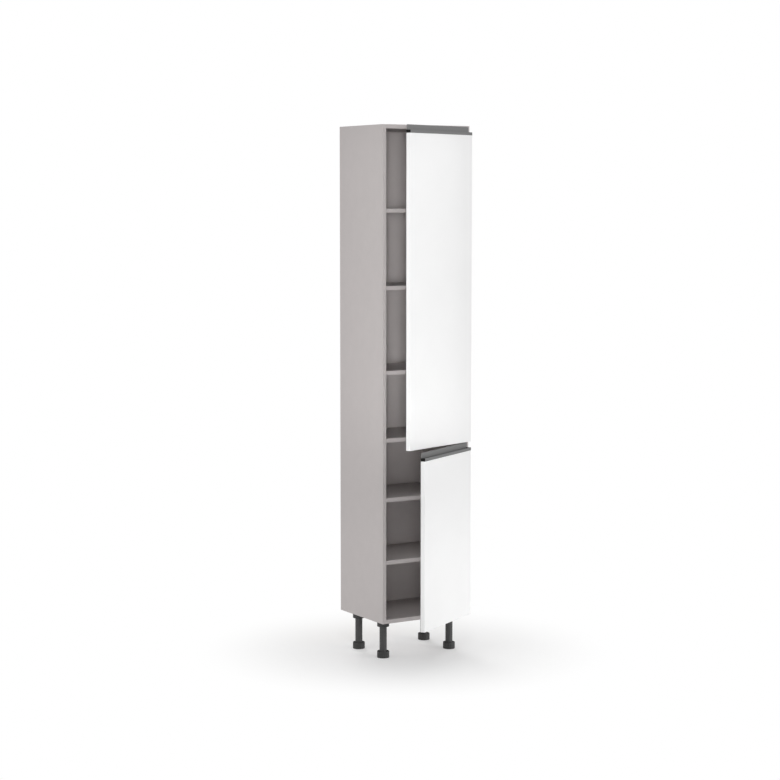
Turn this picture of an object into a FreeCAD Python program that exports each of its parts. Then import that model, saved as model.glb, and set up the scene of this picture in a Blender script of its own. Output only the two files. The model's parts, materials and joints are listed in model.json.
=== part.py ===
import FreeCAD, Part
import math
import os
import re

import Sketcher

# Tall kitchen cabinet on levelling legs: a grey board carcass with six shelves behind two white doors.
# Both doors hang on the right, on concealed cup hinges, and stand ajar.
# Millimetres. Z is up, the front faces -Y, and the origin is on the floor under the carcass centre.

Vector = FreeCAD.Vector
UP = Vector(0, 0, 1)

# Numbers of a box's edges: all of them, those that run along an axis, and the long ones of its left face
ALL_EDGES = range(1, 13)
EDGES_ALONG_X = range(9, 13)
EDGES_ALONG_Y = range(2, 9, 2)
LEFT_EDGES_ALONG_Y = range(2, 5, 2)

SIZES = {
    # carcass boards
    "carcass_width": 400,
    "carcass_depth": 330,
    "carcass_height": 1950,
    "panel": 16,
    "edge_round": 0.6,
    "back_thickness": 3,
    "back_inset": 9,
    "groove_depth": 7,
    "groove_clearance": 0.25,
    # shelves, by their top faces: from the carcass underside, the split shelf or the carcass top
    "lowest_shelf_rise": 250,
    "second_shelf_drop": 235,
    "split_shelf_rise": 36,
    "third_shelf_rise": 265,
    "fourth_shelf_rise": 595,
    "highest_shelf_drop": 323,
    "shelf_setback": 5,
    "shelf_side_gap": 1,
    "shelf_rear_gap": 3,
    # shelf pins
    "pin_radius": 2.5,
    "pin_insert": 8.5,
    "pin_hole_depth": 9.5,
    "pin_row_step": 32,
    "pin_from_front": 37,
    "pin_from_rear": 50,
    "spoon_reach": 9,
    "spoon_width": 9,
    "spoon_height": 6,
    # cam fasteners and dowels
    "cam_radius": 7.5,
    "cam_depth": 12.5,
    "cam_from_end": 34,
    "cam_slot_width": 2,
    "cam_slot_length": 9,
    "cam_slot_depth": 2,
    "bolt_radius": 3,
    "bolt_in_side": 10,
    "dowel_radius": 4,
    "dowel_in_side": 10,
    "dowel_in_board": 20,
    "fastener_from_front": 40,
    "fastener_from_rear": 28,
    "drill_clearance": 0.1,
    # wall brackets
    "bracket_inset": 80,
    "bracket_width": 30,
    "bracket_leg": 40,
    "bracket_thickness": 2.5,
    "wall_hole_radius": 3.25,
    "wall_hole_drop": 24,
    "bracket_screw_back": 25,
    # legs
    "leg_height": 150,
    "leg_inset_side": 44,
    "leg_inset_depth": 70,
    "socket_radius": 24,
    "socket_height": 24,
    "socket_floor": 4,
    "tube_radius": 14.5,
    "tube_wall": 2,
    "tube_clearance": 0.05,
    "foot_radius": 24.2,
    "foot_height": 26,
    "foot_sole": 10,
    "foot_recess_radius": 21,
    "foot_edge": 1,
    "stem_height": 75,
    "leg_screw_circle": 19.2,
    # wood screws
    "screw_radius": 2,
    "screw_head_radius": 3.6,
    "screw_head_height": 2,
    "screw_length": 14,
    # doors
    "door_thickness": 18,
    "door_standoff": 2,
    "door_side_reveal": 1.5,
    "door_bottom_reveal": 1,
    "door_split_gap": 4,
    "door_top_reveal": 4.5,
    "door_edge_round": 1,
    "lower_front_height": 696,
    "upper_door_angle": 20,
    "lower_door_angle": 30,
    "door_opening": 95,
    # handle profile along the top edge of each door
    "handle_rise": 32,
    "handle_lip": 11.5,
    "handle_wall": 2,
    "handle_round": 0.4,
    "handle_screw_inset": 40,
    "handle_cap": 3,
    "handle_plug": 8,
    "handle_plug_play": 0.1,
    # hinge places
    "hinge_from_end": 100,
    "middle_hinge_rise": 459,
    # hinge plate and arm, measured from the side panel's inner face and front edge
    "plate_thickness": 2,
    "plate_height": 48,
    "plate_width": 14,
    "plate_corner": 5,
    "plate_screw_back": 37,
    "plate_screw_half": 16,
    "block_front": 24,
    "block_length": 34,
    "block_half": 6.1,
    "arm_rise": 19,
    "arm_wall": 2,
    "arm_drop": 11,
    "arm_front": 17.5,
    "arm_length": 42.5,
    "arm_half": 8,
    "arm_corner": 2.5,
    "arm_play": 0.3,
    "cheek_low": 1.8,
    "cheek_high": 3.2,
    "cheek_half_width": 2.8,
    "arm_screw_front": 30,
    "arm_screw_step": 20,
    "arm_pin_in": 17,
    "arm_pin_back": 13.5,
    "arm_inner_pin_in": 11.5,
    "arm_inner_pin_back": 6.2,
    # links, turning by these shares of the door's angle, the other way round
    "outer_link_share": 0.26,
    "inner_link_share": 0.14,
    "outer_link_low": 3.5,
    "outer_link_high": 4.9,
    "inner_link_half": 1.5,
    "link_half_width": 1.5,
    "inner_link_half_width": 1.2,
    "link_eye_radius": 2.5,
    "link_tip_radius": 1.75,
    "slot_wall": 0.8,
    # hinge cup, measured from the door's hinged edge and inner face
    "cup_from_edge": 22.5,
    "cup_radius": 17.5,
    "cup_depth": 12.8,
    "cup_floor": 0.7,
    "cup_wall": 0.9,
    "cup_pocket_half": 5.3,
    "cup_pin_from_edge": 8.9,
    "cup_pin_depth": 3.3,
    "cup_inner_pin_from_edge": 9.7,
    "cup_inner_pin_depth": 8,
    "cup_pin_half": 8.5,
    "outer_elbow_from_edge": 14.5,
    "outer_elbow_depth": 8,
    "inner_elbow_from_edge": 19.5,
    "inner_elbow_depth": 10,
    "wing_thickness": 1,
    "wing_half": 31,
    "wing_width": 16,
    "wing_corner": 6,
    "cup_screw_half": 24,
    "cup_screw_offset": 6,
    "hinge_pin_radius": 0.9,
    "hinge_pin_play": 0.05,
}

doc = FreeCAD.newDocument("tall_cabinet")
sheet = doc.addObject("Spreadsheet::Sheet", "Sizes")
for row, (alias, number) in enumerate(SIZES.items(), start=1):
    sheet.set(f"A{row}", alias)
    sheet.set(f"B{row}", str(number))
    sheet.setAlias(f"B{row}", alias)
doc.recompute()

nodes = []

# Shared places, written as sheet expressions
FRONT = "(-carcass_depth / 2)"
REAR = "(carcass_depth / 2)"
LEFT = "(-carcass_width / 2)"
RIGHT = "(carcass_width / 2)"
INNER_LEFT = "(-carcass_width / 2 + panel)"
INNER_RIGHT = "(carcass_width / 2 - panel)"
INNER_WIDTH = "(carcass_width - 2 * panel)"
CARCASS_TOP = "(leg_height + carcass_height)"
CEILING = f"({CARCASS_TOP} - panel)"
GROOVE_WIDTH = "(back_thickness + 2 * groove_clearance)"
GROOVE_FRONT = f"({REAR} - back_inset - {GROOVE_WIDTH})"
BACK_FRONT = f"({GROOVE_FRONT} + groove_clearance)"
SHELF_FRONT = f"({FRONT} + shelf_setback)"
BOLT_HOLE = "(bolt_radius + drill_clearance)"
DOWEL_HOLE = "(dowel_radius + drill_clearance)"
SCREW_HOLE = "(screw_radius + drill_clearance)"
HEAD_HOLE = "(screw_head_radius + drill_clearance)"
DOOR_BACK = f"({FRONT} - door_standoff)"
DOOR_FRONT = f"({DOOR_BACK} - door_thickness)"
DOOR_EDGE = f"({RIGHT} - door_side_reveal)"
DOOR_WIDTH = "(carcass_width - 2 * door_side_reveal)"
LOWER_DOOR_BOTTOM = "(leg_height + door_bottom_reveal)"
LOWER_PANEL_HEIGHT = "(lower_front_height - handle_rise)"
UPPER_DOOR_BOTTOM = f"({LOWER_DOOR_BOTTOM} + lower_front_height + door_split_gap)"
UPPER_PANEL_HEIGHT = f"({CARCASS_TOP} - door_top_reveal - handle_rise - {UPPER_DOOR_BOTTOM})"
FASTENER_ROWS = [f"({FRONT} + fastener_from_front)", f"({REAR} - fastener_from_rear)"]
PIN_ROWS = [f"({FRONT} + pin_from_front)", f"({REAR} - pin_from_rear)"]
SPLIT_SHELF = f"({LOWER_DOOR_BOTTOM} + lower_front_height + split_shelf_rise)"
ADJUSTABLE = [
    "(leg_height + lowest_shelf_rise)",
    f"({SPLIT_SHELF} - second_shelf_drop)",
    f"({SPLIT_SHELF} + third_shelf_rise)",
    f"({SPLIT_SHELF} + fourth_shelf_rise)",
    f"({CARCASS_TOP} - highest_shelf_drop)",
]


def size(alias):
    """Value of one cell of the sheet."""
    return float(sheet.get(alias))


def linked(text):
    """Sheet expression with each size's name turned into its cell."""
    def cell(word):
        name = word.group()
        return f"Sizes.{name}" if name in SIZES else name

    return re.sub(r"[a-z_]+", cell, text)


def evaluate(text):
    """Number that an expression of sizes has now."""
    return float(sheet.evalExpression(linked(text)))


def tie(thing, prop, text):
    """Bind a property to sizes of the sheet."""
    thing.setExpression(prop, linked(text))


def place(thing, x, y, z):
    """Bind where a primitive starts."""
    tie(thing, "Placement.Base.x", x)
    tie(thing, "Placement.Base.y", y)
    tie(thing, "Placement.Base.z", z)


def block(length, width, height, x, y, z):
    """Box that starts at its lowest corner."""
    box = doc.addObject("Part::Box", "block")
    tie(box, "Length", length)
    tie(box, "Width", width)
    tie(box, "Height", height)
    place(box, x, y, z)
    return box


def rod(radius, length, x, y, z, along="z"):
    """Cylinder that starts at a point and runs along one axis."""
    turns = {
        "x": FreeCAD.Rotation(Vector(0, 1, 0), 90),
        "y": FreeCAD.Rotation(Vector(1, 0, 0), -90),
        "z": FreeCAD.Rotation(),
    }
    cylinder = doc.addObject("Part::Cylinder", "rod")
    tie(cylinder, "Radius", radius)
    tie(cylinder, "Height", length)
    cylinder.Placement = FreeCAD.Placement(Vector(), turns[along])
    place(cylinder, x, y, z)
    return cylinder


def group(pieces):
    """Separate solids kept together."""
    compound = doc.addObject("Part::Compound", "group")
    compound.Links = pieces
    return compound


def fuse(pieces):
    """One solid from several."""
    union = doc.addObject("Part::MultiFuse", "fuse")
    union.Shapes = pieces
    return union


def cut(base, tools):
    """A solid with holes and grooves taken out."""
    difference = doc.addObject("Part::Cut", "cut")
    difference.Base = base
    difference.Tool = tools[0] if len(tools) == 1 else group(tools)
    return difference


def rounded(solid, radius, edges=ALL_EDGES):
    """A box with edges softened, all of them or the numbered ones."""
    fillet = doc.addObject("Part::Fillet", "rounded")
    fillet.Base = solid
    fillet.Edges = [(edge, radius, radius) for edge in edges]
    return fillet


def keep(thing, label, placement=None):
    """Make a finished object a sub-part with a name of its own."""
    thing.Label = label
    if placement is not None:
        thing.Placement = placement
    nodes.append(thing)
    return thing


def board(length, width, height, x, y, z):
    """Carcass board with softened edges."""
    return rounded(block(length, width, height, x, y, z), size("edge_round"))


def flat_bar(points, half_width, low, high):
    """Bar of sheet metal along a run of points, with round ends and corners."""
    thickness = high - low
    solids = [Part.makeCylinder(half_width, thickness, point + UP * low) for point in points]
    for start, end in zip(points, points[1:]):
        run = end - start
        bar = Part.makeBox(run.Length, 2 * half_width, thickness, Vector(0, -half_width, low))
        heading = FreeCAD.Rotation(UP, math.degrees(math.atan2(run.y, run.x)))
        bar.Placement = FreeCAD.Placement(start, heading)
        solids.append(bar)
    return solids[0].multiFuse(solids[1:]).removeSplitter()


def shaped(shape):
    """Object that holds a shape worked out from the linkage."""
    feature = doc.addObject("Part::Feature", "shaped")
    feature.Shape = shape
    return feature


def wood_screw(x, y, z, along, forward):
    """Screw with its head's underside at a point, running into the board behind it."""
    shank_start = {"x": x, "y": y, "z": z}
    head_start = dict(shank_start)
    if forward:
        head_start[along] = f"({head_start[along]} - screw_head_height)"
    else:
        shank_start[along] = f"({shank_start[along]} - screw_length)"
    shank = rod("screw_radius", "screw_length", *shank_start.values(), along)
    head = rod("screw_head_radius", "screw_head_height", *head_start.values(), along)
    return fuse([shank, head])


def screw_hole(x, y, z, along, forward):
    """Hole that takes the shank of a wood screw."""
    depth = "(screw_length + drill_clearance)"
    start = {"x": x, "y": y, "z": z}
    if not forward:
        start[along] = f"({start[along]} - {depth})"
    return rod(SCREW_HOLE, depth, *start.values(), along)


# Heights of the three boards that are fastened to the sides
FIXED_BOARDS = {
    "bottom_panel": "leg_height",
    "fixed_shelf": f"({SPLIT_SHELF} - panel)",
    "top_panel": CEILING,
}

# Heights of the hinges, the door's own in the order that they are numbered
UPPER_HINGES = [
    f"({UPPER_DOOR_BOTTOM} + hinge_from_end)",
    f"({UPPER_DOOR_BOTTOM} + middle_hinge_rise)",
    f"({UPPER_DOOR_BOTTOM} + {UPPER_PANEL_HEIGHT} - hinge_from_end)",
]
LOWER_HINGES = [
    f"({LOWER_DOOR_BOTTOM} + hinge_from_end)",
    f"({LOWER_DOOR_BOTTOM} + {LOWER_PANEL_HEIGHT} - hinge_from_end)",
]
HINGE_NAMES = ["lower_door_1", "lower_door_2", "upper_door_1", "upper_door_2", "upper_door_3"]
HINGE_HEIGHTS = dict(zip(HINGE_NAMES, LOWER_HINGES + UPPER_HINGES))
PLATE_SCREW_Y = f"({FRONT} + plate_screw_back)"
PLATE_FACE = f"({INNER_RIGHT} - plate_thickness)"


def plate_screw_places():
    """Where the two screws of each hinge plate enter the side panel."""
    return [
        (PLATE_SCREW_Y, f"({height} {sign} plate_screw_half)")
        for height in HINGE_HEIGHTS.values()
        for sign in "+-"
    ]


# Side panels
def side_panel(label, x, inner_face, outward):
    """Side board: rear groove, shelf-pin holes, fastener holes and, on the right, hinge screw holes."""
    def bored(radius, depth, y, z):
        start = inner_face if outward > 0 else f"({inner_face} - {depth})"
        return rod(radius, depth, start, y, z, "x")

    groove_x = inner_face if outward > 0 else f"({inner_face} - groove_depth)"
    tools = [block("groove_depth", GROOVE_WIDTH, "carcass_height", groove_x, GROOVE_FRONT, "leg_height")]
    for shelf_top in ADJUSTABLE:
        for y in PIN_ROWS:
            for step in (-1, 0, 1):
                z = f"({pin_height(shelf_top)} + {step} * pin_row_step)"
                tools.append(bored("(pin_radius + drill_clearance)", "pin_hole_depth", y, z))
    for bottom in FIXED_BOARDS.values():
        middle = f"({bottom} + panel / 2)"
        for y in FASTENER_ROWS:
            tools.append(bored(BOLT_HOLE, "(bolt_in_side + drill_clearance)", y, middle))
        tools.append(bored(DOWEL_HOLE, "(dowel_in_side + drill_clearance)", "0", middle))
    if outward > 0:
        for y, z in plate_screw_places():
            tools.append(screw_hole(inner_face, y, z, "x", True))
    return keep(cut(board("panel", "carcass_depth", "carcass_height", x, FRONT, "leg_height"), tools), label)


def pin_height(shelf_top):
    """Axis of the pins under a shelf."""
    return f"({shelf_top} - panel - spoon_height / 2)"


side_panel("side_panel_left", LEFT, INNER_LEFT, -1)
side_panel("side_panel_right", INNER_RIGHT, INNER_RIGHT, 1)


# Boards between the sides
def leg_places():
    """Corner names and centres of the four legs."""
    rows = {"front": f"({FRONT} + leg_inset_depth)", "rear": f"({REAR} - leg_inset_depth)"}
    columns = {"left": f"({LEFT} + leg_inset_side)", "right": f"({RIGHT} - leg_inset_side)"}
    return {
        f"{row_name}_{side_name}": (x, y)
        for row_name, y in rows.items()
        for side_name, x in columns.items()
    }


def screws_round(x, y):
    """Three screws round a leg, at the corners of a triangle."""
    return [
        (f"({x} + leg_screw_circle * cos({angle}))", f"({y} + leg_screw_circle * sin({angle}))")
        for angle in (90, 210, 330)
    ]


BRACKET_CENTRES = {"left": f"({LEFT} + bracket_inset)", "right": f"({RIGHT} - bracket_inset)"}
BRACKET_SCREW_Y = f"({BACK_FRONT} - bracket_screw_back)"
WALL_HOLE_Z = f"({CEILING} - wall_hole_drop)"


def groove_for_back(bottom):
    """Groove across a board that takes an edge of the back panel."""
    return block(INNER_WIDTH, GROOVE_WIDTH, "groove_depth", INNER_LEFT, GROOVE_FRONT, bottom)


def fixed_board(label, depth, y, cams_on_top, more_tools):
    """Board joined to both sides by cam fasteners and dowels."""
    bottom = FIXED_BOARDS[label]
    middle = f"({bottom} + panel / 2)"
    cam_bottom = f"({bottom} + panel - cam_depth)" if cams_on_top else bottom
    tools = list(more_tools)
    for row_y in FASTENER_ROWS:
        for sign, end in (("-", INNER_RIGHT), ("+", INNER_LEFT)):
            cam_x = f"({end} {sign} cam_from_end)"
            bolt_x = cam_x if sign == "-" else end
            bore = rod(BOLT_HOLE, "cam_from_end", bolt_x, row_y, middle, "x")
            pot = rod("(cam_radius + drill_clearance)", "cam_depth", cam_x, row_y, cam_bottom)
            tools.append(fuse([bore, pot]))
    for sign, end in (("-", INNER_RIGHT), ("+", INNER_LEFT)):
        dowel_depth = "(dowel_in_board + drill_clearance)"
        dowel_x = f"({end} - {dowel_depth})" if sign == "-" else end
        tools.append(rod(DOWEL_HOLE, dowel_depth, dowel_x, "0", middle, "x"))
    return keep(cut(board(INNER_WIDTH, depth, "panel", INNER_LEFT, y, bottom), tools), label)


bottom_tools = [groove_for_back("(leg_height + panel - groove_depth)")]
for x, y in leg_places().values():
    for screw_x, screw_y in screws_round(x, y):
        bottom_tools.append(screw_hole(screw_x, screw_y, "leg_height", "z", True))
fixed_board("bottom_panel", "carcass_depth", FRONT, True, bottom_tools)

top_tools = [groove_for_back(CEILING)]
for x in BRACKET_CENTRES.values():
    top_tools.append(screw_hole(x, BRACKET_SCREW_Y, CEILING, "z", True))
fixed_board("top_panel", "carcass_depth", FRONT, True, top_tools)

fixed_board("fixed_shelf", f"({BACK_FRONT} - {SHELF_FRONT})", SHELF_FRONT, False, [])

# Back panel, loose in its grooves by the groove clearance on every side
back_reach = "(groove_depth - groove_clearance)"
back_board = block(
    f"({INNER_WIDTH} + 2 * {back_reach})",
    "back_thickness",
    f"(carcass_height - 2 * panel + 2 * {back_reach})",
    f"({INNER_LEFT} - {back_reach})",
    BACK_FRONT,
    f"(leg_height + panel - {back_reach})",
)
wall_holes = [
    rod("(wall_hole_radius + groove_clearance)", "back_thickness", x, BACK_FRONT, WALL_HOLE_Z, "y")
    for x in BRACKET_CENTRES.values()
]
keep(cut(back_board, wall_holes), "back_panel")

# Adjustable shelves and their pins
shelf_pins = []
for number, shelf_top in enumerate(ADJUSTABLE, start=1):
    shelf_board = board(
        f"({INNER_WIDTH} - 2 * shelf_side_gap)",
        f"({BACK_FRONT} - shelf_rear_gap - {SHELF_FRONT})",
        "panel",
        f"({INNER_LEFT} + shelf_side_gap)",
        SHELF_FRONT,
        f"({shelf_top} - panel)",
    )
    keep(shelf_board, f"shelf_{number}")
    for y in PIN_ROWS:
        for pin_start, spoon_start in (
            (f"({INNER_LEFT} - pin_insert)", INNER_LEFT),
            (INNER_RIGHT, f"({INNER_RIGHT} - spoon_reach)"),
        ):
            peg = rod("pin_radius", "pin_insert", pin_start, y, pin_height(shelf_top), "x")
            spoon_bottom = f"({shelf_top} - panel - spoon_height)"
            spoon = block("spoon_reach", "spoon_width", "spoon_height",
                          spoon_start, f"({y} - spoon_width / 2)", spoon_bottom)
            shelf_pins.append(fuse([peg, spoon]))
keep(group(shelf_pins), "shelf_pins")

# Cam locks, cam bolts and dowels
cam_locks = []
cam_bolts = []
dowels = []
for label, bottom in FIXED_BOARDS.items():
    middle = f"({bottom} + panel / 2)"
    on_top = label != "fixed_shelf"
    lock_bottom = f"({bottom} + panel - cam_depth)" if on_top else bottom
    slot_bottom = f"({bottom} + panel - cam_slot_depth)" if on_top else bottom
    for sign, end in (("-", INNER_RIGHT), ("+", INNER_LEFT)):
        cam_x = f"({end} {sign} cam_from_end)"
        shank_length = "(cam_from_end + bolt_in_side - drill_clearance)"
        shank_x = f"({cam_x} + drill_clearance)" if sign == "-" else f"({end} - bolt_in_side)"
        throat_x = cam_x if sign == "-" else f"({cam_x} - cam_radius)"
        for y in FASTENER_ROWS:
            lock = rod("cam_radius", "cam_depth", cam_x, y, lock_bottom)
            throat = rod(BOLT_HOLE, "cam_radius", throat_x, y, middle, "x")
            half_slot = "cam_slot_length / 2"
            half_width = "cam_slot_width / 2"
            cross = fuse([
                block("cam_slot_length", "cam_slot_width", "cam_slot_depth",
                      f"({cam_x} - {half_slot})", f"({y} - {half_width})", slot_bottom),
                block("cam_slot_width", "cam_slot_length", "cam_slot_depth",
                      f"({cam_x} - {half_width})", f"({y} - {half_slot})", slot_bottom),
            ])
            cam_locks.append(cut(lock, [throat, cross]))
            cam_bolts.append(rod("bolt_radius", shank_length, shank_x, y, middle, "x"))
        dowel_x = f"({end} - dowel_in_board)" if sign == "-" else f"({end} - dowel_in_side)"
        dowels.append(rod("dowel_radius", "(dowel_in_side + dowel_in_board)", dowel_x, "0", middle, "x"))
keep(group(cam_locks), "cam_locks")
keep(group(cam_bolts), "cam_bolts")
keep(group(dowels), "dowels")

# Wall brackets under the top panel, against the back panel
carcass_screws = []
for side, centre in BRACKET_CENTRES.items():
    left = f"({centre} - bracket_width / 2)"
    flat = block("bracket_width", "bracket_leg", "bracket_thickness", left,
                 f"({BACK_FRONT} - bracket_leg)", f"({CEILING} - bracket_thickness)")
    upright = block("bracket_width", "bracket_thickness", "bracket_leg", left,
                    f"({BACK_FRONT} - bracket_thickness)", f"({CEILING} - bracket_leg)")
    wall_hole = rod("wall_hole_radius", "bracket_thickness", centre,
                    f"({BACK_FRONT} - bracket_thickness)", WALL_HOLE_Z, "y")
    seat = f"({CEILING} - bracket_thickness)"
    screw_way = rod(SCREW_HOLE, "bracket_thickness", centre, BRACKET_SCREW_Y, seat)
    keep(cut(fuse([flat, upright]), [wall_hole, screw_way]), f"wall_bracket_{side}")
    carcass_screws.append(wood_screw(centre, BRACKET_SCREW_Y, seat, "z", True))


# Legs and levelling feet
def draw_outline(sketch, outline):
    """Closed run of lines whose corners are bound to the sheet."""
    corners = [Vector(evaluate(across), evaluate(up), 0) for across, up in outline]
    for start, end in zip(corners, corners[1:] + corners[:1]):
        sketch.addGeometry(Part.LineSegment(start, end), False)
    count = len(corners)
    for line in range(count):
        sketch.addConstraint(Sketcher.Constraint("Coincident", line, 2, (line + 1) % count, 1))
    for line, ((across, up), corner) in enumerate(zip(outline, corners)):
        for kind, text, number in (("DistanceX", across, corner.x), ("DistanceY", up, corner.y)):
            index = sketch.addConstraint(Sketcher.Constraint(kind, -1, 1, line, 1, number))
            if text != "0":
                tie(sketch, f"Constraints[{index}]", text)


def section_sketch(body, role, outline):
    """Sketch of a section on one of the body's own planes."""
    sketch = body.newObject("Sketcher::SketchObject", f"{body.Name}_section")
    support = next(plane for plane in body.Origin.OriginFeatures if plane.Role == role)
    sketch.AttachmentSupport = [(support, "")]
    sketch.MapMode = "FlatFace"
    draw_outline(sketch, outline)
    return sketch


def levelling_foot(label, x, y):
    """Turned foot: sole, rim round a recess, and a stem that slides in the leg tube."""
    body = doc.addObject("PartDesign::Body", label)
    stem_radius = "(tube_radius - tube_wall - tube_clearance)"
    section = section_sketch(body, "XZ_Plane", [
        ("0", "0"),
        ("(foot_radius - foot_edge)", "0"),
        ("foot_radius", "foot_edge"),
        ("foot_radius", "(foot_height - foot_edge)"),
        ("(foot_radius - foot_edge)", "foot_height"),
        ("foot_recess_radius", "foot_height"),
        ("foot_recess_radius", "foot_sole"),
        (stem_radius, "foot_sole"),
        (stem_radius, "stem_height"),
        ("0", "stem_height"),
    ])
    turned = body.newObject("PartDesign::Revolution", f"{label}_turned")
    turned.Profile = section
    turned.ReferenceAxis = (section, ["V_Axis"])
    turned.Angle = 360
    place(body, x, y, "0")
    return keep(body, label)


SOCKET_BOTTOM = "(leg_height - socket_height)"
SOCKET_SEAT = "(leg_height - socket_floor)"
for corner, (x, y) in leg_places().items():
    collar = rod("socket_radius", "socket_height", x, y, SOCKET_BOTTOM)
    socket_bore = rod("(tube_radius + tube_clearance)", "(socket_height - socket_floor)", x, y, SOCKET_BOTTOM)
    socket_tools = [socket_bore]
    for screw_x, screw_y in screws_round(x, y):
        head_way = rod(HEAD_HOLE, "(socket_height - socket_floor)", screw_x, screw_y, SOCKET_BOTTOM)
        shank_way = rod(SCREW_HOLE, "socket_floor", screw_x, screw_y, SOCKET_SEAT)
        socket_tools.append(fuse([head_way, shank_way]))
        carcass_screws.append(wood_screw(screw_x, screw_y, SOCKET_SEAT, "z", True))
    keep(cut(collar, socket_tools), f"leg_socket_{corner}")
    tube_length = f"({SOCKET_SEAT} - foot_sole)"
    tube_outside = rod("tube_radius", tube_length, x, y, "foot_sole")
    tube_bore = rod("(tube_radius - tube_wall)", tube_length, x, y, "foot_sole")
    keep(cut(tube_outside, [tube_bore]), f"leg_tube_{corner}")
    levelling_foot(f"foot_{corner}", x, y)
keep(group(carcass_screws), "carcass_screws")

# Hinge plates and arms on the right side panel
ARM_TOP = f"({INNER_RIGHT} - arm_rise)"
BLOCK_TOP = f"({ARM_TOP} + arm_wall)"
ARM_SCREW_ROWS = [f"({FRONT} + arm_screw_front)", f"({FRONT} + arm_screw_front + arm_screw_step)"]
PIN_HOLE = "(hinge_pin_radius + hinge_pin_play)"
ARM_PIN = (f"({INNER_RIGHT} - arm_pin_in)", f"({FRONT} + arm_pin_back)")
ARM_INNER_PIN = (f"({INNER_RIGHT} - arm_inner_pin_in)", f"({FRONT} + arm_inner_pin_back)")
CUP_PIN = (f"({DOOR_EDGE} - cup_pin_from_edge)", f"({DOOR_BACK} - cup_pin_depth)")
CUP_INNER_PIN = (f"({DOOR_EDGE} - cup_inner_pin_from_edge)", f"({DOOR_BACK} - cup_inner_pin_depth)")
OUTER_ELBOW = (f"({DOOR_EDGE} - outer_elbow_from_edge)", f"({DOOR_BACK} - outer_elbow_depth)")
INNER_ELBOW = (f"({DOOR_EDGE} - inner_elbow_from_edge)", f"({DOOR_BACK} - inner_elbow_depth)")
CHEEK_ROOT = (f"({ARM_TOP} + cheek_half_width)", f"({FRONT} + arm_front + cheek_half_width)")


def spot(place_text):
    """Point in plan that two expressions have now."""
    return Vector(evaluate(place_text[0]), evaluate(place_text[1]), 0)


def pin_across(place_text, height, half_length, radius):
    """Upright pin or pin hole, centred on a hinge's height."""
    return rod(radius, f"(2 * {half_length})", *place_text, f"({height} - {half_length})")


def hinge_plate(label, height):
    """Mounting plate: two screw wings on the panel and a block that the arm sits on."""
    strip = block("plate_thickness", "plate_width", "plate_height", PLATE_FACE,
                  f"({PLATE_SCREW_Y} - plate_width / 2)", f"({height} - plate_height / 2)")
    wings = rounded(strip, size("plate_corner"), EDGES_ALONG_X)
    seat = block("(arm_rise - arm_wall)", "block_length", "(2 * block_half)", BLOCK_TOP,
                 f"({FRONT} + block_front)", f"({height} - block_half)")
    tools = [screw_hole(BLOCK_TOP, y, height, "x", True) for y in ARM_SCREW_ROWS]
    for sign in "+-":
        screw_z = f"({height} {sign} plate_screw_half)"
        tools.append(rod(SCREW_HOLE, "plate_thickness", PLATE_FACE, PLATE_SCREW_Y, screw_z, "x"))
    keep(cut(fuse([wings, seat]), tools), label)


def hinge_arm(label, height):
    """Pressed steel arm: a channel over the block, and two cheeks that carry the links' pins."""
    bar = block("arm_drop", "arm_length", "(2 * arm_half)", ARM_TOP,
                f"({FRONT} + arm_front)", f"({height} - arm_half)")
    shell = rounded(bar, size("arm_corner"), LEFT_EDGES_ALONG_Y)
    hollow_half = "(block_half + arm_play)"
    hollow = block("(arm_drop - arm_wall)", "arm_length", f"(2 * {hollow_half})", BLOCK_TOP,
                   f"({FRONT} + arm_front)", f"({height} - {hollow_half})")
    run = [spot(ARM_INNER_PIN), spot(ARM_PIN), spot(CHEEK_ROOT)]
    middle = evaluate(height)
    cheeks = [
        shaped(flat_bar(run, size("cheek_half_width"), middle + low, middle + high))
        for low, high in both_sides(size("cheek_low"), size("cheek_high"))
    ]
    tools = [rod(SCREW_HOLE, "arm_wall", ARM_TOP, y, height, "x") for y in ARM_SCREW_ROWS]
    tools.append(pin_across(ARM_PIN, height, "cheek_high", PIN_HOLE))
    tools.append(pin_across(ARM_INNER_PIN, height, "cheek_high", PIN_HOLE))
    keep(cut(fuse([cut(shell, [hollow])] + cheeks), tools), label)


def both_sides(low, high):
    """A layer above a hinge's middle and the same layer below it."""
    return [(low, high), (-high, -low)]


hinge_screws = [wood_screw(PLATE_FACE, y, z, "x", True) for y, z in plate_screw_places()]
arm_pins = []
for name, height in HINGE_HEIGHTS.items():
    hinge_plate(f"hinge_plate_{name}", height)
    hinge_arm(f"hinge_arm_{name}", height)
    for y in ARM_SCREW_ROWS:
        hinge_screws.append(wood_screw(ARM_TOP, y, height, "x", True))
    arm_pins.append(pin_across(ARM_PIN, height, "outer_link_high", "hinge_pin_radius"))
    arm_pins.append(pin_across(ARM_INNER_PIN, height, "cheek_high", "hinge_pin_radius"))
keep(group(hinge_screws), "hinge_screws")
keep(group(arm_pins), "hinge_arm_pins")


# How the linkage carries a door: everything is drawn with the door shut and then swung to its angle
def outer_link_swing(angle):
    """Outer links turn about the arm's outer pin."""
    turn = FreeCAD.Rotation(UP, -size("outer_link_share") * angle)
    return FreeCAD.Placement(Vector(), turn, spot(ARM_PIN))


def inner_link_swing(angle):
    """Inner links turn about the arm's inner pin."""
    turn = FreeCAD.Rotation(UP, -size("inner_link_share") * angle)
    return FreeCAD.Placement(Vector(), turn, spot(ARM_INNER_PIN))


def door_swing(angle):
    """The door turns about its cup pin, which the outer link carries along."""
    shut_pin = spot(CUP_PIN)
    carried_pin = outer_link_swing(angle).multVec(shut_pin)
    return FreeCAD.Placement(carried_pin - shut_pin, FreeCAD.Rotation(UP, angle), shut_pin)


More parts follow.
